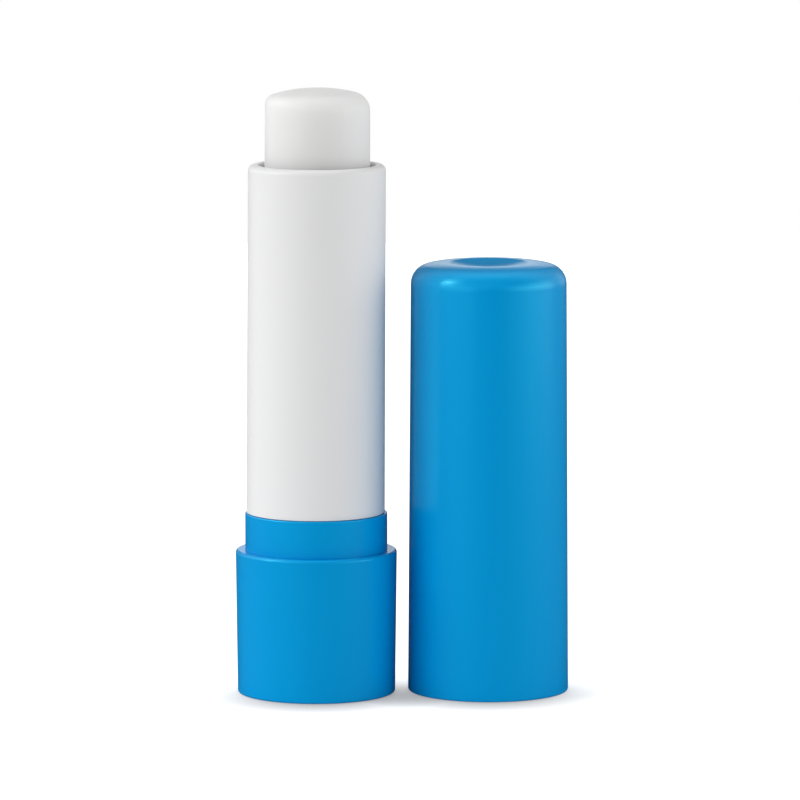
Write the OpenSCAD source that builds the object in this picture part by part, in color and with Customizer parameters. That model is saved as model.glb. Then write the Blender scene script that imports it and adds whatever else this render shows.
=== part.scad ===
// Twist-up lip balm stick with its cap taken off and stood beside it.
// The origin is the centre of the stick's foot, +Z runs up the stick, and the cap stands towards +X.
// Lengths are in millimetres. The stick is drawn with the balm wound part of the way out.

/* [Base shell] */
// Thickness of the base's wall at its shoulder, outside the collar that it grips
base_wall = 1.28; // [1.08:0.05:1.68]
// How much narrower the base is at its foot, for release from the mould
base_draft = 0.2; // [0:0.05:0.4]
// Height of the shoulder above the table
shoulder_z = 17; // [15:0.5:19]
// Thickness of the base's floor
base_floor_t = 1.1; // [0.8:0.1:1.6]
// Depth of the hollow under the foot
foot_recess = 0.5; // [0.3:0.1:0.8]
// Width of the ring that the stick stands on, out to the base's side
foot_ring_w = 1.9; // [1.3:0.1:3]
// Rounding of the foot's outer edge
foot_round = 0.3; // [0.2:0.05:0.5]
// Rounding of the shoulder's outer edge
shoulder_round = 0.35; // [0.2:0.05:0.5]
// Number of crush ribs that grip the collar
base_ribs = 12; // [6:1:16]
// Height of the plain land at the top of the base's bore
base_land_h = 1.6; // [1:0.2:3]
// Reach of each crush rib into the bore
base_rib_reach = 0.18; // [0.12:0.02:0.24]
// Width of each crush rib
base_rib_w = 0.6; // [0.4:0.1:1]
// Slant of the foot hollow's side, across its height
foot_slant = 0.3; // [0.1:0.05:0.5]
// Radius of the moulding gate's mark under the foot
gate_r = 1.2; // [0.8:0.1:2]
// Depth of the moulding gate's mark
gate_depth = 0.2; // [0.1:0.05:0.3]

/* [Collar] */
// Height of the collar above the shoulder, where the cap grips
collar_rise = 4.4; // [3.6:0.2:6]
// Thickness of the collar's wall above the shoulder
collar_wall = 0.65; // [0.59:0.02:0.77]
// Width of the ledge by which the collar sits on the shoulder
collar_ledge = 0.18; // [0.16:0.02:0.22]
// Chamfer round the collar's top edge
collar_edge = 0.15; // [0.1:0.05:0.2]
// Width of the lead-in chamfer on the collar and on the inner body, whose height is twice as much
press_lead = 0.2; // [0.1:0.05:0.3]

/* [Inner body] */
// Thickness of the slotted tube's wall
fork_wall = 0.4; // [0.36:0.02:0.5]
// Thickness of the floor that stops the cup
fork_floor_t = 1; // [0.8:0.1:1.4]
// Width of the two upright slots
fork_slot_w = 2.5; // [2.4:0.05:2.6]
// Height of the closed ring above the slots' guide length
fork_ring_h = 0.9; // [0.7:0.1:1]
// Reach of the snap bead over the spiral sleeve's end
bead_reach = 0.32; // [0.25:0.01:0.33]
// Number of splines on the foot skirt
fork_splines = 12; // [6:1:16]
// Thickness of the foot skirt's wall
fork_skirt_wall = 0.7; // [0.6:0.1:1]
// Height of the stopping floor above the base's shoulder
fork_floor_rise = 0.2; // [0:0.1:1]
// Reach of each spline outside the foot skirt
spline_reach = 0.1; // [0.06:0.02:0.16]
// Width of each spline
spline_w = 0.5; // [0.4:0.1:0.8]
// Height of the splines' lower ends above the base's floor
spline_up = 0.8; // [0.6:0.1:1.5]

/* [Spiral sleeve] */
// Thickness of the spiral sleeve's wall
spiral_wall = 0.45; // [0.4:0.02:0.5]
// Rise of the two slots in one full turn
spiral_lead = 16; // [14:0.5:20]
// Width of the slots along the axis
spiral_slot_h = 2.64; // [2.6:0.02:2.9]
// Gap from the sleeve's top end up to the tube's mouth
spiral_top_drop = 2.3; // [2.2:0.1:2.6]
// Room past the lugs at each end of the spiral slots
spiral_slot_room = 0.25; // [0.15:0.05:0.4]

/* [Tube] */
// Height of the tube's mouth above the table
tube_top_z = 62.5; // [61.5:0.5:66]
// Thickness of the tube's wall at its lower end
tube_wall = 0.45; // [0.42:0.01:0.5]
// How much narrower the tube is at its mouth
tube_draft = 0.08; // [0:0.02:0.1]
// Thickness of the turned-in lip at the mouth
lip_t = 1.1; // [0.9:0.1:1.2]
// Gap between the balm and the edge of the mouth
mouth_gap = 0.67; // [0.55:0.02:0.69]
// Rounding of the mouth's outer edge
mouth_round = 0.7; // [0.5:0.05:0.8]
// Rounding of the mouth's inner edge
mouth_edge = 0.2; // [0.1:0.05:0.3]
// Width of the step in the bore that the spiral sleeve butts against
tube_step = 0.08; // [0.04:0.02:0.12]

/* [Carrier cup] */
// Outer radius of the cup that holds the balm
cup_r = 6.7; // [6.6:0.02:6.8]
// Thickness of the cup's wall
cup_wall = 0.35; // [0.3:0.05:0.5]
// Height of the cup
cup_h = 10; // [8:0.5:10.5]
// Thickness of the cup's floor
cup_floor_t = 0.8; // [0.6:0.1:1.2]
// Diameter of the two lugs
lug_d = 2.2; // [2:0.05:2.25]
// Height of the lugs above the cup's bottom
lug_up = 2; // [1.6:0.1:3]
// Number of fins inside the cup that hold the balm
cup_fins = 4; // [3:1:6]
// Reach of each fin into the balm
fin_reach = 0.7; // [0.4:0.1:1]
// Thickness of each fin
fin_w = 0.5; // [0.4:0.1:0.8]
// How far the fins stop below the cup's rim
fin_drop = 2.2; // [1:0.2:4]
// Chamfer round the cup's lower edge
cup_edge = 0.3; // [0.1:0.1:0.5]
// Flare of the cup's mouth, which is four times as high as it is wide
cup_flare = 0.1; // [0.05:0.05:0.15]
// How far the lugs stop short of the spiral sleeve's outside
lug_short = 0.18; // [0.1:0.02:0.3]

/* [Balm] */
// How much narrower the balm is below its rounded shoulder than at its root
balm_draft = 0.18; // [0:0.01:0.24]
// Rounding between the balm's side and its domed top
balm_round = 1.8; // [1.2:0.1:2.4]
// Radius of the sphere that the domed top follows
balm_dome_r = 17.5; // [14:0.5:30]
// How far the balm stands out of the mouth as drawn
balm_out = 9.1; // [2:0.1:20]
// How far below the mouth the balm's tip is when wound right down
balm_sink = 0.3; // [0.1:0.1:0.5]
// Gap under the cup when it is wound right down
cup_low_gap = 0.4; // [0.3:0.1:1]
// Gap between the cup's rim and the tube's lip when it is wound right up
cup_high_gap = 1.8; // [0.8:0.2:3]

/* [Cap] */
// Thickness of the cap's wall at its mouth, outside the gripping land
cap_mouth_wall = 1.03; // [0.9:0.01:1.3]
// How much narrower the cap is at its top corner
cap_draft = 0.31; // [0.2:0.01:0.36]
// Height of the cap
cap_h = 50.95; // [50.5:0.05:54]
// Radius of the cap's top corner
cap_corner = 2.8; // [2.4:0.1:3]
// Radius of the crest round the dished top
cap_crest = 1; // [0.6:0.1:1.4]
// Steepest slope of the dished top, in degrees
dish_slope = 18; // [12:1:20]
// Thickness of the cap's wall above the gripping land
cap_wall = 0.91; // [0.88:0.01:0.96]
// Thickness of the cap's top under the middle of the dish
cap_top_t = 0.85; // [0.7:0.05:1]
// Height of the land inside the mouth that grips the collar
cap_land_h = 5; // [4.6:0.2:7]
// Depth of the lead-in chamfer at the mouth
cap_lead = 0.25; // [0.15:0.05:0.35]
// Height of the lead-in chamfer at the mouth
cap_lead_h = 0.4; // [0.2:0.1:0.8]
// Rounding of the mouth's outer edge
cap_edge = 0.25; // [0.15:0.05:0.35]
// Radius of the corner between the wall's inside and the ceiling
cap_in_corner = 1.9; // [1.2:0.1:2.2]
// Width of the slope that ends the land, which is four times as high as it is wide
land_slope = 0.1; // [0.05:0.05:0.2]

/* [Places] */
// How far the cap stands to the right of the stick
cap_x = 20.3; // [19.9:0.1:40]
// How far the cap stands behind the stick
cap_y = 1.4; // [-10:0.1:10]

/* [Fits] */
// Radial gap between the cup and the slotted tube
slide_gap = 0.08; // [0.05:0.01:0.1]
// Radial gap of the spiral sleeve over the slotted tube and inside the collar
turn_gap = 0.05; // [0.03:0.01:0.08]
// Radial gap between pieces that are pressed together
seat_gap = 0.02; // [0.01:0.01:0.03]
// End gap between pieces that turn against each other
end_gap = 0.05; // [0.05:0.05:0.2]
// Radial gap between the cap's land and the collar
cap_gap = 0.07; // [0.03:0.01:0.1]
// Room past the lugs at each end of the upright slots
lug_room = 0.15; // [0.1:0.05:0.2]

/* [Hidden] */
// Fineness of the round stretches, for display and for the outlines' arcs
$fn = 128;
ARC_STEP = 9;
// Amount by which a cutting shape runs past the face it cuts
EXTRA = 1;
// Amount by which a rib is rooted in its wall
ROOT = 0.1;
BLUE = "#0096d2";
WHITE = "#eceeee";
NATURAL = "#e4e4de";
BALM = "#e9e9e6";

// Radii from the cup outwards, each one clear of the last by its fit
fork_in_r = cup_r + slide_gap;
fork_r = fork_in_r + fork_wall;
spiral_in_r = fork_r + turn_gap;
spiral_r = spiral_in_r + spiral_wall;
tube_in_r = spiral_r + seat_gap;
tube_r = tube_in_r + tube_wall;
collar_in_r = spiral_r + turn_gap;
collar_r = collar_in_r + collar_wall;
shank_r = collar_r - collar_ledge;
base_in_r = shank_r + seat_gap;
base_top_r = base_in_r + base_wall;
base_foot_r = base_top_r - base_draft;
foot_recess_r = base_foot_r - foot_ring_w;
// Radius of the tube's bore above the step that the spiral sleeve butts against
tube_step_r = tube_in_r - tube_step;

// Heights up the stick
base_floor_z = foot_recess + base_floor_t;
collar_top_z = shoulder_z + collar_rise;
fork_floor_z = shoulder_z + fork_floor_rise;
spiral_foot_z = fork_floor_z + end_gap;
spiral_top_z = tube_top_z - spiral_top_drop;
tube_foot_z = collar_top_z + end_gap;
bead_foot_z = spiral_top_z + end_gap;
fork_top_z = bead_foot_z + fork_ring_h;
lip_under_z = tube_top_z - lip_t;

// Travel of the cup: wound right down, as drawn, and wound right up
cup_low_z = fork_floor_z + cup_low_gap;
cup_rest_z = cup_low_z + balm_out + balm_sink;
cup_high_z = lip_under_z - cup_high_gap - cup_h;
lug_low_z = cup_low_z + lug_up;
lug_rest_z = cup_rest_z + lug_up;
lug_high_z = cup_high_z + lug_up;

// Balm
balm_foot_z = cup_rest_z + cup_floor_t;
balm_tip_z = tube_top_z + balm_out;
balm_root_r = cup_r - cup_wall - seat_gap;
balm_side_r = balm_root_r - balm_draft;
mouth_r = balm_side_r + mouth_gap;

// Cap, measured from its own mouth
land_r = collar_r + cap_gap;
cap_mouth_r = land_r + cap_mouth_wall;
cap_top_r = cap_mouth_r - cap_draft;
crest_r = cap_top_r - cap_corner;
dish_rim_r = crest_r - cap_crest * sin(dish_slope);
dish_ball_r = dish_rim_r / sin(dish_slope);
dish_low_z = cap_h - (cap_crest + dish_ball_r) * (1 - cos(dish_slope));
cap_ceiling_z = dish_low_z - cap_top_t;

// Points along an arc of radius r about (x, z), from angle a0 to angle a1
function arc(x, z, r, a0, a1) =
    let (n = max(2, ceil(abs(a1 - a0) / ARC_STEP)))
    [for (i = [0 : n]) let (a = a0 + (a1 - a0) * i / n) [x + r * cos(a), z + r * sin(a)]];

// A plain ring between two radii
module ring(outer_r, inner_r, z0, z1) {
    translate([0, 0, z0]) difference() {
        cylinder(r = outer_r, h = z1 - z0);
        translate([0, 0, -EXTRA]) cylinder(r = inner_r, h = z1 - z0 + 2 * EXTRA);
    }
}

// Small upright ribs round a wall, from radius r0 to radius r1
module ribs(count, width, r0, r1, z0, z1) {
    for (i = [0 : count - 1])
        rotate([0, 0, 360 * i / count])
            translate([r0, -width / 2, z0]) cube([r1 - r0, width, z1 - z0]);
}

// Outer shell of the base: the part that the fingers turn
module base_shell() {
    rib_root_r = base_in_r + base_rib_reach;
    rib_top_z = shoulder_z - base_land_h;
    outline = concat(
        [[0, foot_recess], [foot_recess_r - foot_slant, foot_recess], [foot_recess_r, 0]],
        arc(base_foot_r - foot_round, foot_round, foot_round, -90, 0),
        arc(base_top_r - shoulder_round, shoulder_z - shoulder_round, shoulder_round, 0, 90),
        [[base_in_r, shoulder_z], [base_in_r, rib_top_z]],
        [[rib_root_r, rib_top_z - base_rib_reach], [rib_root_r, base_floor_z], [0, base_floor_z]]);
    color(BLUE) {
        difference() {
            rotate_extrude() polygon(outline);
            // Mark left by the moulding gate
            translate([0, 0, foot_recess - EXTRA]) cylinder(r = gate_r, h = EXTRA + gate_depth);
        }
        ribs(base_ribs, base_rib_w, base_in_r, rib_root_r + ROOT, base_floor_z, rib_top_z);
    }
}

// Collar that the cap grips, pressed into the base with its ledge on the shoulder
module collar() {
    outline = [
        [collar_in_r, base_floor_z],
        [shank_r - press_lead, base_floor_z],
        [shank_r, base_floor_z + 2 * press_lead],
        [shank_r, shoulder_z],
        [collar_r, shoulder_z],
        [collar_r, collar_top_z - collar_edge],
        [collar_r - collar_edge, collar_top_z],
        [collar_in_r, collar_top_z]];
    color(BLUE) rotate_extrude() polygon(outline);
}

// Inner body: a splined foot skirt in the collar, a floor, and the tube with two upright slots
module inner_body() {
    seat_r = collar_in_r - seat_gap;
    skirt_r = seat_r - spline_reach;
    skirt_in_r = skirt_r - fork_skirt_wall;
    floor_under_z = fork_floor_z - fork_floor_t;
    spline_foot_z = base_floor_z + spline_up;
    outline = [
        [skirt_in_r, base_floor_z],
        [skirt_r - press_lead, base_floor_z],
        [skirt_r, base_floor_z + 2 * press_lead],
        [skirt_r, floor_under_z],
        [seat_r, floor_under_z],
        [seat_r, fork_floor_z],
        [fork_r, fork_floor_z],
        [fork_r, bead_foot_z],
        [fork_r + bead_reach, bead_foot_z],
        [fork_r + bead_reach, bead_foot_z + fork_ring_h / 3],
        [fork_r, fork_top_z],
        [fork_in_r, fork_top_z],
        [fork_in_r, fork_floor_z],
        [0, fork_floor_z],
        [0, floor_under_z],
        [skirt_in_r, floor_under_z]];
    color(NATURAL) {
        difference() {
            rotate_extrude() polygon(outline);
            translate([-fork_r - EXTRA, -fork_slot_w / 2, lug_low_z - lug_d / 2 - lug_room])
                cube([2 * (fork_r + EXTRA), fork_slot_w, lug_high_z - lug_low_z + lug_d + 2 * lug_room]);
        }
        ribs(fork_splines, spline_w, skirt_r - ROOT, seat_r - seat_gap / 2, spline_foot_z, floor_under_z);
    }
}

// One helical slot: a wedge that turns as it rises, centred on the lug as drawn
module spiral_slot() {
    end_room = lug_d / 2 + spiral_slot_room;
    z0 = lug_low_z - end_room;
    z1 = lug_high_z + end_room;
    half = 180 * spiral_slot_h / spiral_lead;
    inner = spiral_in_r - EXTRA / 2;
    outer = spiral_r + 1.5 * EXTRA;
    turn = 360 * (z1 - z0) / spiral_lead;
    rotate([0, 0, 360 * (z0 - lug_rest_z) / spiral_lead])
        translate([0, 0, z0])
            linear_extrude(height = z1 - z0, twist = -turn, slices = ceil(turn / 10), segments = 4)
                polygon([
                    [inner * cos(half), -inner * sin(half)],
                    [outer * cos(half), -outer * sin(half)],
                    [outer * cos(half), outer * sin(half)],
                    [inner * cos(half), inner * sin(half)]]);
}

// Spiral sleeve that turns round the slotted tube and drives the lugs up and down
module spiral_sleeve() {
    color(WHITE) difference() {
        ring(spiral_r, spiral_in_r, spiral_foot_z, spiral_top_z);
        spiral_slot();
        rotate([0, 0, 180]) spiral_slot();
    }
}

// White tube pressed over the spiral sleeve, with its lip turned in over the mechanism
module tube() {
    tube_mouth_r = tube_r - tube_draft;
    outline = concat(
        [[tube_in_r, tube_foot_z], [tube_r, tube_foot_z]],
        arc(tube_mouth_r - mouth_round, tube_top_z - mouth_round, mouth_round, 0, 90),
        arc(mouth_r + mouth_edge, tube_top_z - mouth_edge, mouth_edge, 90, 180),
        [[mouth_r, lip_under_z], [tube_step_r, lip_under_z]],
        [[tube_step_r, spiral_top_z], [tube_in_r, spiral_top_z]]);
    color(WHITE) rotate_extrude() polygon(outline);
}

// Cup that carries the balm, with two lugs that reach out through the slots
module carrier_cup() {
    lug_end_r = spiral_r - lug_short;
    lug_root_r = cup_r - cup_wall / 2;
    cup_in_r = cup_r - cup_wall;
    outline = [
        [0, 0],
        [cup_r - cup_edge, 0],
        [cup_r, cup_edge],
        [cup_r, cup_h],
        [cup_in_r + cup_flare, cup_h],
        [cup_in_r, cup_h - 4 * cup_flare],
        [cup_in_r, cup_floor_t],
        [0, cup_floor_t]];
    color(NATURAL) translate([0, 0, cup_rest_z]) {
        rotate_extrude() polygon(outline);
        for (side = [0, 180])
            rotate([0, 0, side])
                translate([lug_root_r, 0, lug_up])
                    rotate([0, 90, 0]) cylinder(d = lug_d, h = lug_end_r - lug_root_r);
        cup_fin_set(0);
    }
}

// Fins inside the cup; the balm's own grooves are wider by the room given
module cup_fin_set(room) {
    cup_in_r = cup_r - cup_wall;
    fin_h = cup_h - cup_floor_t - fin_drop;
    for (i = [0 : cup_fins - 1])
        rotate([0, 0, 45 + 360 * i / cup_fins])
            translate([cup_in_r - fin_reach - room, -fin_w / 2 - room, cup_floor_t - room])
                cube([fin_reach + cup_wall / 2 + room, fin_w + 2 * room, fin_h + 2 * room]);
}

// The balm itself: a slightly tapered stick with a rounded shoulder and a low dome
module balm() {
    // The dome's sphere and the shoulder's arc touch where their slopes agree
    dome_angle = asin((balm_side_r - balm_round) / (balm_dome_r - balm_round));
    round_z = balm_tip_z - balm_dome_r + (balm_dome_r - balm_round) * cos(dome_angle);
    outline = concat(
        [[0, balm_foot_z], [balm_root_r, balm_foot_z]],
        arc(balm_side_r - balm_round, round_z, balm_round, 0, 90 - dome_angle),
        arc(0, balm_tip_z - balm_dome_r, balm_dome_r, 90 - dome_angle * 2 / 3, 90));
    color(BALM) difference() {
        rotate_extrude() polygon(outline);
        translate([0, 0, cup_rest_z]) cup_fin_set(seat_gap);
    }
}

// Cap with a dished top, standing on its open mouth
module cap() {
    top_in_r = cap_top_r - cap_wall;
    outline = concat(
        [[land_r + cap_lead, 0]],
        arc(cap_mouth_r - cap_edge, cap_edge, cap_edge, -90, 0),
        arc(crest_r, cap_h - cap_corner, cap_corner, 0, 90),
        arc(crest_r, cap_h - cap_crest, cap_crest, 90 + dish_slope / 2, 90 + dish_slope),
        arc(0, dish_low_z + dish_ball_r, dish_ball_r, dish_slope * 2 / 3 - 90, -90),
        [[0, cap_ceiling_z]],
        arc(top_in_r - cap_in_corner, cap_ceiling_z - cap_in_corner, cap_in_corner, 90, 0),
        [[land_r + land_slope, cap_land_h + 4 * land_slope], [land_r, cap_land_h], [land_r, cap_lead_h]]);
    color(BLUE) translate([cap_x, cap_y, 0]) rotate_extrude() polygon(outline);
}

base_shell();
collar();
inner_body();
spiral_sleeve();
tube();
carrier_cup();
balm();
cap();
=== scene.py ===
import math

import bpy
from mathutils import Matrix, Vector


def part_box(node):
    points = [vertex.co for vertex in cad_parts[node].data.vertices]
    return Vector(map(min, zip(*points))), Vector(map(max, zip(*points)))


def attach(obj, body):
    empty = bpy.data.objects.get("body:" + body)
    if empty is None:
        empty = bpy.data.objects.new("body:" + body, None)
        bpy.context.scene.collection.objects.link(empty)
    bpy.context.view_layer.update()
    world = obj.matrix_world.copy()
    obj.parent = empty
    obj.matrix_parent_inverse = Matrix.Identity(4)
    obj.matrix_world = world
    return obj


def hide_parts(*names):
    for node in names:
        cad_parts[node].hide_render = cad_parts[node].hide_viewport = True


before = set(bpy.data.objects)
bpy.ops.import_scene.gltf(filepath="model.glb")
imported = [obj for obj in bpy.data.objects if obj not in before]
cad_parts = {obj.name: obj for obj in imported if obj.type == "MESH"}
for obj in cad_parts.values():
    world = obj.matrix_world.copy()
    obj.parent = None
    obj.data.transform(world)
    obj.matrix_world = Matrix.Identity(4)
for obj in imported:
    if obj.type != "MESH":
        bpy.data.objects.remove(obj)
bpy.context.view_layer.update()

# Camera: a long lens a little above the stick, level with the photograph's view. Its place and
# pitch come from the round edges in the photograph, which open into wider ellipses lower down.
MM = 0.001
VIEW_SENSOR = 36.0
VIEW_LENS = 301.5
VIEW_PLACE = Vector((9.87, -781.5, 136.5)) * MM
VIEW_PITCH = math.radians(7.423)
VIEW_NEAR = 0.01
VIEW_FAR = 20.0

camera = bpy.data.objects.new("camera", bpy.data.cameras.new("camera"))
camera.data.sensor_width = VIEW_SENSOR
camera.data.lens = VIEW_LENS
camera.data.clip_start = VIEW_NEAR
camera.data.clip_end = VIEW_FAR
camera.location = VIEW_PLACE
camera.rotation_euler = (math.pi / 2 - VIEW_PITCH, 0.0, 0.0)
bpy.context.scene.collection.objects.link(camera)
bpy.context.scene.camera = camera
bpy.context.scene.view_settings.view_transform = "Standard"


# Floor and light: a white table in a white room, lit by soft sources that stand round it. The
# strongest is high on the left, and the front of the room is dim, so the walls' colours stay deep.
class Signal:
    """A shader socket that takes part in plain arithmetic: each sum on it adds its Math node."""

    def __init__(self, recipe, socket):
        self.recipe = recipe
        self.socket = socket

    def sum(self, operation, left, right):
        made = self.recipe.node("ShaderNodeMath", {"operation": operation}, Value=left, Value_001=right)
        return made["Value"]

    def __add__(self, other):
        return self.sum("ADD", self, other)

    def __radd__(self, other):
        return self.sum("ADD", other, self)

    def __sub__(self, other):
        return self.sum("SUBTRACT", self, other)

    def __rsub__(self, other):
        return self.sum("SUBTRACT", other, self)

    def __mul__(self, other):
        return self.sum("MULTIPLY", self, other)

    def __rmul__(self, other):
        return self.sum("MULTIPLY", other, self)


class Recipe:
    """The node tree of one material or of the world, built one node at a time."""

    def __init__(self, owner):
        owner.use_nodes = True
        self.tree = owner.node_tree
        self.tree.nodes.clear()
        self.owner = owner

    def node(self, kind, settings=None, **inputs):
        """Adds one node and returns its outputs by identifier."""
        made = self.tree.nodes.new(kind)
        for key, value in (settings or {}).items():
            setattr(made, key, value)
        by_identifier = {socket.identifier: socket for socket in made.inputs}
        for key, value in inputs.items():
            socket = by_identifier[key.replace("__", " ")]
            if isinstance(value, Signal):
                self.tree.links.new(value.socket, socket)
            else:
                socket.default_value = value
        return {socket.identifier: Signal(self, socket) for socket in made.outputs}

    def blend(self, factor, first, second):
        """A colour between two colours."""
        return self.node("ShaderNodeMix", {"data_type": "RGBA"},
                         Factor_Float=factor, A_Color=first, B_Color=second)["Result_Color"]

    def noise(self, scale, detail=3.0, stretch=(1.0, 1.0, 1.0)):
        """Cloudy noise on the object's own coordinates, from 0 to 1."""
        place = self.node("ShaderNodeTexCoord")["Object"]
        place = self.node("ShaderNodeMapping", Vector=place, Scale=stretch)["Vector"]
        return self.node("ShaderNodeTexNoise", Vector=place, Scale=scale, Detail=detail)["Fac"]


FLOOR_R = 0.5
FLOOR_SIDES = 96
FLOOR_BOUNCE = (0.92, 0.92, 0.92, 1.0)
FLOOR_MIRRORED = (0.03, 0.03, 0.03, 1.0)
FLOOR_SEEN = (0.6, 0.59, 0.58, 1.0)
FLOOR_GLOW = 0.85
BLACK = (0.0, 0.0, 0.0, 1.0)
WHITE = (1.0, 1.0, 1.0, 1.0)

# The soft painted shadow in front of each foot: how far it reaches, and its lean towards the back
CONTACT_REACH = 8.0 * MM
CONTACT_LEAN_Y = 0.94
CONTACT_LEAN_Z = 0.34
CONTACT_SAMPLES = 16


def disc(name, radius, sides):
    """A flat round sheet on the ground, with its face upwards."""
    turns = [2 * math.pi * i / sides for i in range(sides)]
    points = [(radius * math.cos(a), radius * math.sin(a), 0.0) for a in turns]
    mesh = bpy.data.meshes.new(name)
    mesh.from_pydata(points, [], [list(range(sides))])
    made = bpy.data.objects.new(name, mesh)
    bpy.context.scene.collection.objects.link(made)
    return made


floor = disc("floor", FLOOR_R, FLOOR_SIDES)
table = Recipe(bpy.data.materials.new("white_table"))
rays = table.node("ShaderNodeLightPath")
plain = table.node("ShaderNodeBsdfDiffuse", Color=FLOOR_BOUNCE)["BSDF"]
mirrored = table.node("ShaderNodeBsdfDiffuse", Color=FLOOR_MIRRORED)["BSDF"]
lean = table.node("ShaderNodeCombineXYZ", X=0.0, Y=CONTACT_LEAN_Y, Z=CONTACT_LEAN_Z)["Vector"]
# Painted shadow: an occlusion node darkens the floor's seen colour and its glow close to the feet
open_sky = table.node("ShaderNodeAmbientOcclusion", {"samples": CONTACT_SAMPLES},
                      Distance=CONTACT_REACH, Normal=lean)["AO"]
seen = table.blend(open_sky, BLACK, FLOOR_SEEN)
shown = table.node("ShaderNodeBsdfDiffuse", Color=seen)["BSDF"]
glow = table.node("ShaderNodeEmission", Strength=open_sky * FLOOR_GLOW)["Emission"]
lit = table.node("ShaderNodeAddShader", Shader=shown, Shader_001=glow)["Shader"]
unseen = table.node("ShaderNodeMixShader", Fac=rays["Is Glossy Ray"], Shader=plain,
                    Shader_001=mirrored)["Shader"]
whole = table.node("ShaderNodeMixShader", Fac=rays["Is Camera Ray"], Shader=unseen,
                   Shader_001=lit)["Shader"]
table.node("ShaderNodeOutputMaterial", Surface=whole)
floor.data.materials.append(table.owner)

room = Recipe(bpy.data.worlds.new("room"))
toward = room.node("ShaderNodeTexCoord")["Generated"]


def soft_source(azimuth, elevation, sharpness, strength):
    """A soft patch of light in the room, at degrees round to the right from the front and degrees
    up. It is brightest along its axis and falls away faster round it the sharper it is."""
    azimuth, elevation = math.radians(azimuth), math.radians(elevation)
    axis = (math.sin(azimuth) * math.cos(elevation), -math.cos(azimuth) * math.cos(elevation),
            math.sin(elevation))
    near = room.node("ShaderNodeVectorMath", {"operation": "DOT_PRODUCT"}, Vector=toward,
                     Vector_001=axis)["Value"]
    patch = room.node("ShaderNodeMath", {"operation": "EXPONENT"}, Value=(near - 1.0) * sharpness)["Value"]
    return patch * strength


key_light = soft_source(azimuth=-76.0, elevation=34.0, sharpness=50.0, strength=8.5)
left_haze = soft_source(azimuth=-95.0, elevation=26.0, sharpness=4.0, strength=1.2)
left_panel = soft_source(azimuth=-60.0, elevation=8.0, sharpness=26.0, strength=0.85)
front_left_panel = soft_source(azimuth=-35.0, elevation=8.0, sharpness=26.0, strength=1.3)
front_right_panel = soft_source(azimuth=45.0, elevation=8.0, sharpness=22.0, strength=1.4)
right_panel = soft_source(azimuth=70.0, elevation=8.0, sharpness=22.0, strength=2.4)
right_wall = soft_source(azimuth=95.0, elevation=8.0, sharpness=22.0, strength=2.1)
back_right_wall = soft_source(azimuth=140.0, elevation=8.0, sharpness=22.0, strength=0.65)
backdrop = soft_source(azimuth=180.0, elevation=9.5, sharpness=130.0, strength=1.3)
front_fill = soft_source(azimuth=0.0, elevation=32.0, sharpness=13.0, strength=0.5)
right_fill = soft_source(azimuth=110.0, elevation=52.0, sharpness=8.0, strength=0.85)
ceiling_light = soft_source(azimuth=-130.0, elevation=84.0, sharpness=10.0, strength=0.85)
light = key_light + left_haze + left_panel + front_left_panel + front_right_panel + right_panel
light = light + right_wall + back_right_wall + backdrop + front_fill + right_fill + ceiling_light

camera_ray = room.node("ShaderNodeLightPath")["Is Camera Ray"]
strength = camera_ray + (1.0 - camera_ray) * light
glowing = room.node("ShaderNodeBackground", Color=WHITE, Strength=strength)["Background"]
room.node("ShaderNodeOutputWorld", Surface=glowing)
bpy.context.scene.world = room.owner


# Base shell: the blue cup of gloss plastic that the fingers turn, moulded with a slight taper, a
# rounded shoulder edge, a hollow foot with its gate mark, and crush ribs that hold the collar.
TURN_SEGMENTS = 256
ARC_STEP = math.radians(7.5)
ARC_LEAST_STEPS = 3
EDGE_STEP = 0.06
STRAIGHT_STEP = 1.2
WELD_REACH = 0.002 * MM
SHARP_EDGE = math.radians(38.0)


def arc(x, z, radius, start, end, count=0):
    """Points round (x, z) from one angle to another, in degrees, as (radius, height) pairs."""
    start, end = math.radians(start), math.radians(end)
    count = count or max(ARC_LEAST_STEPS, math.ceil(abs(end - start) / ARC_STEP))
    turns = [start + (end - start) * i / count for i in range(count + 1)]
    return [(x + radius * math.cos(a), z + radius * math.sin(a)) for a in turns]


def stations(points):
    """Places along an outline, as (piece, share of it). Its long straights are filled in, and have
    a place close to each end, so that they shade flat beside a rounding."""
    places = [(0, 0.0)]
    for index, ((x0, z0), (x1, z1)) in enumerate(zip(points, points[1:])):
        length = math.hypot(x1 - x0, z1 - z0)
        middle = length - 2 * EDGE_STEP
        if middle > 2 * EDGE_STEP:
            count = max(1, round(middle / STRAIGHT_STEP))
            places += [(index, (EDGE_STEP + middle * i / count) / length) for i in range(count + 1)]
        places.append((index, 1.0))
    return places


def along(points, places):
    """The points of an outline at the given stations."""
    return [(points[i][0] + (points[i + 1][0] - points[i][0]) * share,
             points[i][1] + (points[i + 1][1] - points[i][1]) * share) for i, share in places]


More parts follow.
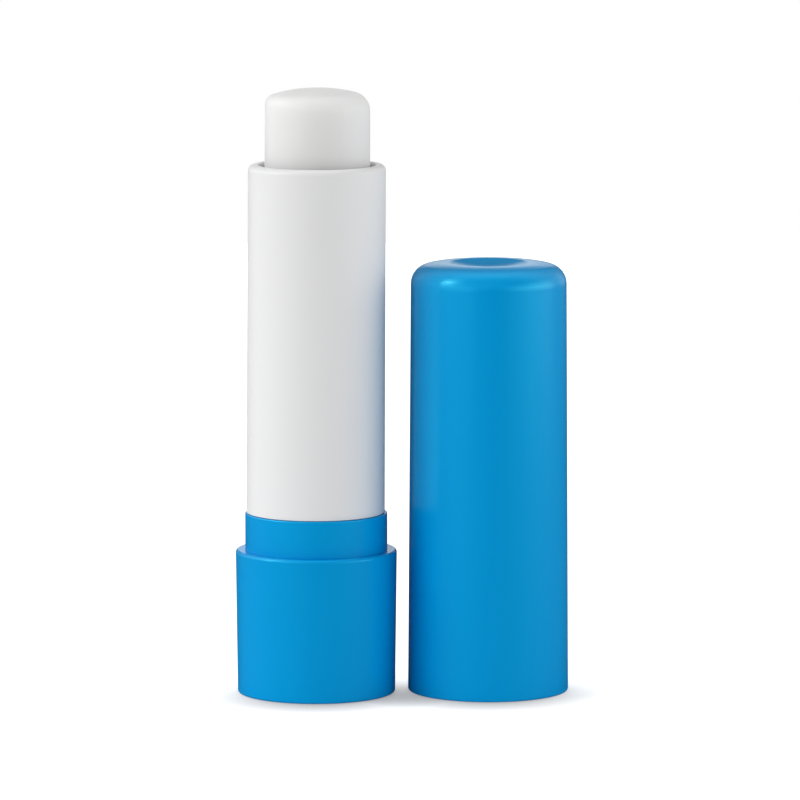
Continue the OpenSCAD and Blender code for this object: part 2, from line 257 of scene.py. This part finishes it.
class GeometryTree:
    """A Geometry Nodes tree with named inputs, built one node at a time."""

    def __init__(self, name, sizes):
        self.tree = bpy.data.node_groups.new(name, "GeometryNodeTree")
        for socket, kind in sizes.items():
            self.tree.interface.new_socket(socket, in_out="INPUT", socket_type=kind)
        self.tree.interface.new_socket("Geometry", in_out="OUTPUT", socket_type="NodeSocketGeometry")
        self.given = self.tree.nodes.new("NodeGroupInput").outputs

    def node(self, kind, settings=None, **inputs):
        """Adds one node; an input is a value, or the output socket that feeds it."""
        made = self.tree.nodes.new(kind)
        for key, value in (settings or {}).items():
            setattr(made, key, value)
        by_identifier = {socket.identifier: socket for socket in made.inputs}
        for key, value in inputs.items():
            socket = by_identifier[key.replace("__", " ")]
            if isinstance(value, bpy.types.NodeSocket):
                self.tree.links.new(value, socket)
            else:
                socket.default_value = value
        return {socket.identifier: socket for socket in made.outputs if socket.enabled}

    def math(self, operation, first, second=0.0):
        """The output of one Math node."""
        return self.node("ShaderNodeMath", {"operation": operation}, Value=first, Value_001=second)["Value"]

    def finish(self, geometry):
        """Ends the tree in plain, finished geometry."""
        whole = self.node("GeometryNodeRealizeInstances", Geometry=geometry)["Geometry"]
        dressed = self.node("GeometryNodeSetMaterial", Geometry=whole,
                            Material=self.given["Material"])["Geometry"]
        out = self.tree.nodes.new("NodeGroupOutput")
        self.tree.links.new(dressed, out.inputs["Geometry"])
        return self.tree


def turning_tree():
    """Turns an outline, one chain of edges in the XZ plane, round an upright axis."""
    build = GeometryTree("turn_outline", {
        "Outline": "NodeSocketGeometry",
        "Segments": "NodeSocketInt",
        "Centre": "NodeSocketVector",
        "Lean": "NodeSocketFloat",
        "Lean From": "NodeSocketFloat",
        "Ribs": "NodeSocketInt",
        "Rib Low": "NodeSocketVector",
        "Rib High": "NodeSocketVector",
        "Material": "NodeSocketMaterial",
    })

    # A flat grid has one row for each outline point, and one more column than there are segments
    outline = build.given["Outline"]
    count = build.node("GeometryNodeAttributeDomainSize", {"component": "MESH"},
                       Geometry=outline)["Point Count"]
    columns = build.math("ADD", build.given["Segments"], 1.0)
    grid = build.node("GeometryNodeMeshGrid", Vertices__X=columns, Vertices__Y=count)["Mesh"]
    here = build.node("GeometryNodeInputPosition")["Position"]
    at = build.node("ShaderNodeSeparateXYZ", Vector=here)
    turn = build.math("MULTIPLY", build.math("ADD", at["X"], 0.5), 2 * math.pi)
    last = build.math("SUBTRACT", count, 1.0)
    row = build.math("ROUND", build.math("MULTIPLY", build.math("ADD", at["Y"], 0.5), last))

    # Each row's radius and height change over from the left outline to the right one
    left = build.node("GeometryNodeSampleIndex", {"data_type": "FLOAT_VECTOR"}, Geometry=outline, Index=row,
                      Value=here)["Value"]
    other = build.node("GeometryNodeInputNamedAttribute", {"data_type": "FLOAT_VECTOR"},
                       Name="right")["Attribute"]
    right = build.node("GeometryNodeSampleIndex", {"data_type": "FLOAT_VECTOR"}, Geometry=outline, Index=row,
                       Value=other)["Value"]
    side = build.math("MULTIPLY", build.math("ADD", build.math("COSINE", turn), 1.0), 0.5)
    point = build.node("ShaderNodeMix", {"data_type": "VECTOR"}, Factor_Float=side, A_Vector=left,
                       B_Vector=right)["Result_Vector"]
    point = build.node("ShaderNodeSeparateXYZ", Vector=point)

    # The grid is rolled round the axis, leans to the side with its height, and is welded shut
    rise = build.math("SUBTRACT", point["Z"], build.given["Lean From"])
    sway = build.math("MULTIPLY", rise, build.given["Lean"])
    across = build.math("ADD", build.math("MULTIPLY", point["X"], build.math("COSINE", turn)), sway)
    deep = build.math("MULTIPLY", point["X"], build.math("SINE", turn))
    place = build.node("ShaderNodeCombineXYZ", X=across, Y=deep, Z=point["Z"])["Vector"]
    rolled = build.node("GeometryNodeSetPosition", Geometry=grid, Position=place)["Geometry"]
    closed = build.node("GeometryNodeMergeByDistance", Geometry=rolled, Distance=WELD_REACH)["Geometry"]

    # Ribs are small upright blocks set evenly round the wall
    low, high = build.given["Rib Low"], build.given["Rib High"]
    size = build.node("ShaderNodeVectorMath", {"operation": "SUBTRACT"}, Vector=high,
                      Vector_001=low)["Vector"]
    middle = build.node("ShaderNodeVectorMath", {"operation": "ADD"}, Vector=high, Vector_001=low)["Vector"]
    middle = build.node("ShaderNodeVectorMath", {"operation": "SCALE"}, Vector=middle, Scale=0.5)["Vector"]
    block = build.node("GeometryNodeMeshCube", Size=size)["Mesh"]
    block = build.node("GeometryNodeTransform", Geometry=block, Translation=middle)["Geometry"]
    spots = build.node("GeometryNodeMeshLine", Count=build.given["Ribs"], Offset=(0.0, 0.0, 0.0))["Mesh"]
    share = build.math("DIVIDE", build.node("GeometryNodeInputIndex")["Index"], build.given["Ribs"])
    facing = build.node("ShaderNodeCombineXYZ", Z=build.math("MULTIPLY", share, 2 * math.pi))["Vector"]
    ribs = build.node("GeometryNodeInstanceOnPoints", Points=spots, Instance=block,
                      Rotation=facing)["Instances"]

    joined = build.node("GeometryNodeJoinGeometry")["Geometry"]
    for part in (closed, ribs):
        build.tree.links.new(part, joined.node.inputs["Geometry"])
    moved = build.node("GeometryNodeTransform", Geometry=joined,
                       Translation=build.given["Centre"])["Geometry"]
    return build.finish(moved)


turn_outline = turning_tree()


def settled(piece):
    """Replaces a piece's modifiers by the plain mesh that they give."""
    bpy.context.view_layer.update()
    shaped = piece.evaluated_get(bpy.context.evaluated_depsgraph_get())
    mesh = bpy.data.meshes.new_from_object(shaped)
    piece.modifiers.clear()
    piece.data = mesh
    mesh.shade_smooth()
    mesh.set_sharp_from_angle(angle=SHARP_EDGE)
    return piece


def turned(name, points, material, right=None, centre=(0.0, 0.0), lean=0.0, lean_from=0.0, ribs=0,
           rib_low=(0.0, 0.0, 0.0), rib_high=(0.0, 0.0, 0.0)):
    """A round piece from its outline in millimetres, which may change over to another one on its right."""
    places = stations(points)
    chain = along(points, places)
    mesh = bpy.data.meshes.new(name)
    links = [(i, i + 1) for i in range(len(chain) - 1)]
    mesh.from_pydata([(x * MM, 0.0, z * MM) for x, z in chain], links, [])
    other = mesh.attributes.new("right", "FLOAT_VECTOR", "POINT")
    for item, (x, z) in zip(other.data, along(right or points, places)):
        item.vector = (x * MM, 0.0, z * MM)
    piece = bpy.data.objects.new(name, mesh)
    bpy.context.scene.collection.objects.link(piece)
    modifier = piece.modifiers.new("turn", "NODES")
    modifier.node_group = turn_outline
    values = {
        "Segments": TURN_SEGMENTS,
        "Centre": (centre[0] * MM, centre[1] * MM, 0.0),
        "Lean": lean,
        "Lean From": lean_from * MM,
        "Ribs": ribs,
        "Rib Low": [v * MM for v in rib_low],
        "Rib High": [v * MM for v in rib_high],
        "Material": material,
    }
    for socket in turn_outline.interface.items_tree:
        if socket.name in values and socket.in_out == "INPUT":
            modifier[socket.identifier] = values[socket.name]
    return settled(piece)


FLOW_SCALE = 90.0
FLOW_STRETCH = (1.0, 1.0, 0.35)
WEAR_SCALE = 650.0
WEAR_SPREAD = 0.05
RIPPLE_SCALE = 260.0
GRAIN_SCALE = 9000.0
GRAIN_SHARE = 0.05
MOULD_RELIEF = 0.012 * MM
NO_TINT = (1.0, 1.0, 1.0, 1.0)


def moulded_plastic(name, colour, shade, roughness, shine, sheen_tint=NO_TINT):
    """Smooth moulded plastic: a faint flow in its colour, a soft sheen and the mould's fine texture."""
    recipe = Recipe(bpy.data.materials.new(name))
    flow = recipe.noise(FLOW_SCALE, detail=4.0, stretch=FLOW_STRETCH)
    tone = recipe.blend(flow, colour, shade)
    wear = recipe.noise(WEAR_SCALE, detail=5.0)
    matt = roughness + (wear - 0.5) * WEAR_SPREAD
    ripple = recipe.noise(RIPPLE_SCALE, detail=2.0)
    grain = recipe.noise(GRAIN_SCALE, detail=2.0)
    skin = recipe.node("ShaderNodeBump", Strength=0.25, Distance=MOULD_RELIEF,
                       Height=ripple * (1.0 - GRAIN_SHARE) + grain * GRAIN_SHARE)["Normal"]
    surface = recipe.node("ShaderNodeBsdfPrincipled", Base__Color=tone, Roughness=matt, Normal=skin,
                          Specular__IOR__Level=shine, Specular__Tint=sheen_tint)["BSDF"]
    recipe.node("ShaderNodeOutputMaterial", Surface=surface)
    return recipe.owner


BLUE = (0.0, 0.338, 0.755, 1.0)
BLUE_DEEP = (0.0, 0.326, 0.740, 1.0)
BLUE_SHEEN = (0.1, 0.9, 1.0, 1.0)
blue_plastic = moulded_plastic("blue_plastic", BLUE, BLUE_DEEP, roughness=0.24, shine=1.0,
                               sheen_tint=BLUE_SHEEN)

base_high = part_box("base_shell")[1]
base_r = base_high.x / MM
shoulder_z = base_high.z / MM
base_bore_r = 8.22
base_floor_z = 1.6
BASE_TAPER = 0.2
base_foot_r = base_r - BASE_TAPER
FOOT_ROUND = 0.3
FOOT_RECESS = 0.5
FOOT_RECESS_R = 7.4
RECESS_INSET = 0.3
RECESS_ROUND = 0.25
GATE_MARK_R = 1.2
GATE_MARK_DEPTH = 0.2
GATE_MARK_ROUND = 0.1
SHOULDER_ROUND = 0.35
BORE_ROUND = 0.08
BORE_LAND = 1.6
BORE_RELIEF = 0.18
RELIEF_RAMP = 0.2
BASE_RIBS = 12
RIB_HALF_WIDTH = 0.3
RIB_DEPTH = 0.3
RIB_SUNK = 0.05
recess_top = FOOT_RECESS + GATE_MARK_DEPTH
relief_r = base_bore_r + BORE_RELIEF
land_low = shoulder_z - BORE_LAND
base_outline = (
    [(0.0, recess_top), (GATE_MARK_R - GATE_MARK_ROUND, recess_top)]
    + arc(GATE_MARK_R - GATE_MARK_ROUND, recess_top - GATE_MARK_ROUND, GATE_MARK_ROUND, 90, 0)
    + [(GATE_MARK_R, FOOT_RECESS), (FOOT_RECESS_R - RECESS_INSET, FOOT_RECESS)]
    + arc(FOOT_RECESS_R - RECESS_INSET, FOOT_RECESS - RECESS_ROUND, RECESS_ROUND, 90, 30)
    + [(FOOT_RECESS_R, 0.0)]
    + arc(base_foot_r - FOOT_ROUND, FOOT_ROUND, FOOT_ROUND, -90, 0)
    + arc(base_r - SHOULDER_ROUND, shoulder_z - SHOULDER_ROUND, SHOULDER_ROUND, 0, 90)
    + arc(base_bore_r + BORE_ROUND, shoulder_z - BORE_ROUND, BORE_ROUND, 90, 180)
    + [(base_bore_r, land_low), (relief_r, land_low - RELIEF_RAMP)]
    + [(relief_r, base_floor_z), (0.0, base_floor_z)]
)
base_shell = turned("base_shell_moulding", base_outline, blue_plastic, ribs=BASE_RIBS,
                    rib_low=(base_bore_r, -RIB_HALF_WIDTH, base_floor_z - RIB_SUNK),
                    rib_high=(base_bore_r + RIB_DEPTH, RIB_HALF_WIDTH, land_low))
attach(base_shell, "base")
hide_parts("base_shell")


# Collar: a plain sleeve of the same blue plastic, pressed into the base until its ledge meets the
# shoulder, with a fine rounded lip at its top edge. The cap's mouth slides over it.
collar_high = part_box("collar")[1]
collar_r = collar_high.x / MM
collar_top = collar_high.z / MM
collar_bore_r = 7.73
COLLAR_LIP = 0.16
LEDGE_WIDTH = 0.18
LEDGE_ROUND = 0.05
SKIRT_LEAD = 0.2
SKIRT_LEAD_HEIGHT = 0.4
skirt_r = collar_r - LEDGE_WIDTH
collar_outline = (
    [(collar_bore_r, base_floor_z), (skirt_r - SKIRT_LEAD, base_floor_z)]
    + [(skirt_r, base_floor_z + SKIRT_LEAD_HEIGHT), (skirt_r, shoulder_z)]
    + arc(collar_r - LEDGE_ROUND, shoulder_z + LEDGE_ROUND, LEDGE_ROUND, -90, 0)
    + arc(collar_r - COLLAR_LIP, collar_top - COLLAR_LIP, COLLAR_LIP, 0, 90)
    + [(collar_bore_r, collar_top), (collar_bore_r, base_floor_z)]
)
collar = turned("collar_sleeve", collar_outline, blue_plastic)
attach(collar, "base")
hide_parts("collar")


# Inner body, spiral sleeve and carrier cup: the swivel mechanism, moulded in uncoloured plastic.
# Only its top ring and the cup's rim show, down the gap between the balm and the tube's mouth.
MILKY = (0.74, 0.74, 0.70, 1.0)
MILKY_SHADE = (0.68, 0.68, 0.63, 1.0)
MILKY_CLOUD_SCALE = 140.0
MILKY_ROUGHNESS = 0.42
MILKY_WEAR_SCALE = 900.0
MILKY_WEAR_SPREAD = 0.12
MILKY_GRAIN_SCALE = 5000.0
MILKY_RELIEF = 0.01 * MM


def natural_plastic(name, colour, shade):
    """Uncoloured plastic with a milky, uneven tone and a dull skin."""
    recipe = Recipe(bpy.data.materials.new(name))
    tone = recipe.blend(recipe.noise(MILKY_CLOUD_SCALE), colour, shade)
    matt = MILKY_ROUGHNESS + (recipe.noise(MILKY_WEAR_SCALE) - 0.5) * MILKY_WEAR_SPREAD
    skin = recipe.node("ShaderNodeBump", Strength=0.2, Distance=MILKY_RELIEF,
                       Height=recipe.noise(MILKY_GRAIN_SCALE))["Normal"]
    surface = recipe.node("ShaderNodeBsdfPrincipled", Base__Color=tone, Roughness=matt, Normal=skin,
                          Specular__IOR__Level=0.4)["BSDF"]
    recipe.node("ShaderNodeOutputMaterial", Surface=surface)
    return recipe.owner


milky_plastic = natural_plastic("milky_plastic", MILKY, MILKY_SHADE)
for inner in ("inner_body", "spiral_sleeve", "carrier_cup"):
    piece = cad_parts[inner]
    piece.data.materials.clear()
    piece.data.materials.append(milky_plastic)


# Tube: the smooth barrel of white plastic pressed over the spiral sleeve. Its mouth edge is rounded
# outside, and its lip turns in over the mechanism and leaves a narrow gap round the balm.
tube_low, tube_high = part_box("tube")
tube_r = tube_high.x / MM
tube_foot = tube_low.z / MM
tube_top = tube_high.z / MM
TUBE_TAPER = 0.08
tube_mouth_r = tube_r - TUBE_TAPER
tube_bore_r = 7.70
TUBE_FOOT_ROUND = 0.06
MOUTH_R = 6.82
MOUTH_ROUND = 0.7
MOUTH_INNER_ROUND = 0.2
LIP_T = 1.1
BORE_STEP = 0.08
BORE_STEP_DROP = 2.3
STICK_LEAN = 0.0053
TUBE_LEAN_FROM = 36.0
TUBE_WHITE = (0.84, 0.84, 0.84, 1.0)
TUBE_SHADE = (0.82, 0.82, 0.82, 1.0)
white_plastic = moulded_plastic("white_plastic", TUBE_WHITE, TUBE_SHADE, roughness=0.38, shine=0.25)
lip_low = tube_top - LIP_T
step_r = tube_bore_r - BORE_STEP
step_low = tube_top - BORE_STEP_DROP
tube_outline = (
    [(tube_bore_r, tube_foot)]
    + arc(tube_r - TUBE_FOOT_ROUND, tube_foot + TUBE_FOOT_ROUND, TUBE_FOOT_ROUND, -90, 0)
    + arc(tube_mouth_r - MOUTH_ROUND, tube_top - MOUTH_ROUND, MOUTH_ROUND, 0, 90)
    + arc(MOUTH_R + MOUTH_INNER_ROUND, tube_top - MOUTH_INNER_ROUND, MOUTH_INNER_ROUND, 90, 180)
    + [(MOUTH_R, lip_low), (step_r, lip_low), (step_r, step_low), (tube_bore_r, step_low)]
    + [(tube_bore_r, tube_foot)]
)
tube = turned("tube_barrel", tube_outline, white_plastic, lean=STICK_LEAN, lean_from=TUBE_LEAN_FROM)
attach(tube, "barrel")
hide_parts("tube")


# Balm: the moulded stick of off-white wax. It tapers slightly, and its low dome meets the side in a
# soft shoulder that sits a little lower on the right, where the mould let go last.
balm_low, balm_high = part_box("balm")
balm_root_r = 6.33
balm_side_r = 6.15
balm_root = balm_low.z / MM
BALM_SUNK = 0.12
balm_tip = balm_high.z / MM - BALM_SUNK
BALM_ROUND_LEFT = 1.27
BALM_ROUND_RIGHT = 2.27
BALM_DOME_R = 19.0
BALM_ARC_STEPS = 12
BALM_JOIN_GAP = 1.5
BALM_LEAN_FROM = 25.2
WAX = (0.79, 0.79, 0.787, 1.0)
WAX_SHADE = (0.77, 0.77, 0.766, 1.0)
WAX_CLOUD_SCALE = 160.0
WAX_ROUGHNESS = 0.42
WAX_SWEAT_SCALE = 500.0
WAX_SWEAT_SPREAD = 0.2
WAX_SWELL_SCALE = 240.0
WAX_DIMPLE_SCALE = 2600.0
WAX_DIMPLE_SHARE = 0.3
WAX_RELIEF = 0.03 * MM
WAX_DEPTH = 5.0 * MM
WAX_REACH = (1.0, 0.98, 0.94)


def wax(name, colour, shade):
    """Smooth wax: a cloudy tone, a soft sheen, and faint dimples and sweat marks."""
    recipe = Recipe(bpy.data.materials.new(name))
    cloud = recipe.noise(WAX_CLOUD_SCALE, detail=4.0)
    tone = recipe.blend(cloud, colour, shade)
    sweat = recipe.noise(WAX_SWEAT_SCALE, detail=4.0)
    matt = WAX_ROUGHNESS + (sweat - 0.5) * WAX_SWEAT_SPREAD
    swell = recipe.noise(WAX_SWELL_SCALE, detail=2.0)
    dimple = recipe.noise(WAX_DIMPLE_SCALE)
    skin = recipe.node("ShaderNodeBump", Strength=0.35, Distance=WAX_RELIEF,
                       Height=swell * (1.0 - WAX_DIMPLE_SHARE) + dimple * WAX_DIMPLE_SHARE)["Normal"]
    surface = recipe.node("ShaderNodeBsdfPrincipled", Base__Color=tone, Roughness=matt, Normal=skin,
                          Specular__IOR__Level=0.25, Subsurface__Weight=1.0,
                          Subsurface__Radius=WAX_REACH, Subsurface__Scale=WAX_DEPTH)["BSDF"]
    recipe.node("ShaderNodeOutputMaterial", Surface=surface)
    return recipe.owner


def balm_profile(rounding):
    """Half the balm's outline for one rounding between its side and its dome."""
    tilt = math.asin((balm_side_r - rounding) / (BALM_DOME_R - rounding))
    round_z = balm_tip - BALM_DOME_R + (BALM_DOME_R - rounding) * math.cos(tilt)
    join = 90 - math.degrees(tilt)
    shoulder = arc(balm_side_r - rounding, round_z, rounding, 0, join, count=BALM_ARC_STEPS)
    dome = arc(0.0, balm_tip - BALM_DOME_R, BALM_DOME_R, join + BALM_JOIN_GAP, 90, count=BALM_ARC_STEPS)
    return [(0.0, balm_root), (balm_root_r, balm_root)] + shoulder + dome


balm_wax = wax("balm_wax", WAX, WAX_SHADE)
balm = turned("balm_stick", balm_profile(BALM_ROUND_LEFT), balm_wax, right=balm_profile(BALM_ROUND_RIGHT),
              lean=STICK_LEAN, lean_from=BALM_LEAN_FROM)
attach(balm, "carrier")
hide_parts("balm")


# Cap: the tall thimble of the same blue plastic that stands on its mouth beside the stick. It is
# moulded with a soft top corner, a crest and a shallow dish, and widens slightly down to its mouth.
cap_low, cap_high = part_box("cap")
cap_centre = ((cap_low.x + cap_high.x) / 2 / MM, (cap_low.y + cap_high.y) / 2 / MM)
cap_mouth_r = (cap_high.x - cap_low.x) / 2 / MM
cap_top = cap_high.z / MM
CAP_TAPER = 0.31
cap_top_r = cap_mouth_r - CAP_TAPER
CAP_MOUTH_ROUND = 0.25
CAP_CORNER = 2.3
CAP_CORNER_TURN = 78.0
CREST_R = 4.8
CREST_DROP = 0.1
CAP_CREST = 1.2
DISH_SLOPE = 18.0
DISH_START = 0.9
CAP_WALL = 0.91
CAP_CEILING = 1.86
CAP_INNER_CORNER = 1.9
cap_land_r = 8.45
cap_land_top = 5.0
LAND_STEP = 0.1
LAND_RAMP = 0.4
LEAD_IN = 0.25
LEAD_IN_HEIGHT = 0.4
CROWN_STEPS = 8
CROWN_GAP = 2.0
CREST_GAP = 4.0

# The corner's arc ends in a long crown arc that is level at the crest, and the crest's small arc
# turns down to meet the dish, which is part of a ball
rise = math.radians(90 - CAP_CORNER_TURN)
corner_x = cap_top_r - CAP_CORNER
shoulder_r = corner_x + CAP_CORNER * math.sin(rise)
crown_r = (shoulder_r - CREST_R) / math.sin(rise)
crest_z = cap_top - CREST_DROP
corner_z = crest_z - crown_r * (1 - math.cos(rise)) - CAP_CORNER * math.cos(rise)
slope = math.radians(DISH_SLOPE)
dish_ball_r = (CREST_R - CAP_CREST * math.sin(slope)) / math.sin(slope)
dish_low = crest_z - (CAP_CREST + dish_ball_r) * (1 - math.cos(slope))
ceiling = cap_top - CAP_CEILING
cap_inner_r = cap_top_r - CAP_WALL
cap_outline = (
    arc(cap_mouth_r - CAP_MOUTH_ROUND, CAP_MOUTH_ROUND, CAP_MOUTH_ROUND, -90, 0)
    + arc(corner_x, corner_z, CAP_CORNER, 0, CAP_CORNER_TURN)
    + arc(CREST_R, crest_z - crown_r, crown_r, CAP_CORNER_TURN + CROWN_GAP, 90, count=CROWN_STEPS)
    + arc(CREST_R, crest_z - CAP_CREST, CAP_CREST, 90 + CREST_GAP, 90 + DISH_SLOPE)
    + arc(0.0, dish_low + dish_ball_r, dish_ball_r, DISH_SLOPE * DISH_START - 90, -90, count=CROWN_STEPS)
    + [(0.0, ceiling)]
    + arc(cap_inner_r - CAP_INNER_CORNER, ceiling - CAP_INNER_CORNER, CAP_INNER_CORNER, 90, 0)
    + [(cap_land_r + LAND_STEP, cap_land_top + LAND_RAMP), (cap_land_r, cap_land_top)]
    + [(cap_land_r, LEAD_IN_HEIGHT), (cap_land_r + LEAD_IN, 0.0), (cap_mouth_r - CAP_MOUTH_ROUND, 0.0)]
)
cap = turned("cap_moulding", cap_outline, blue_plastic, centre=cap_centre)
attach(cap, "cap_body")
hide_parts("cap")
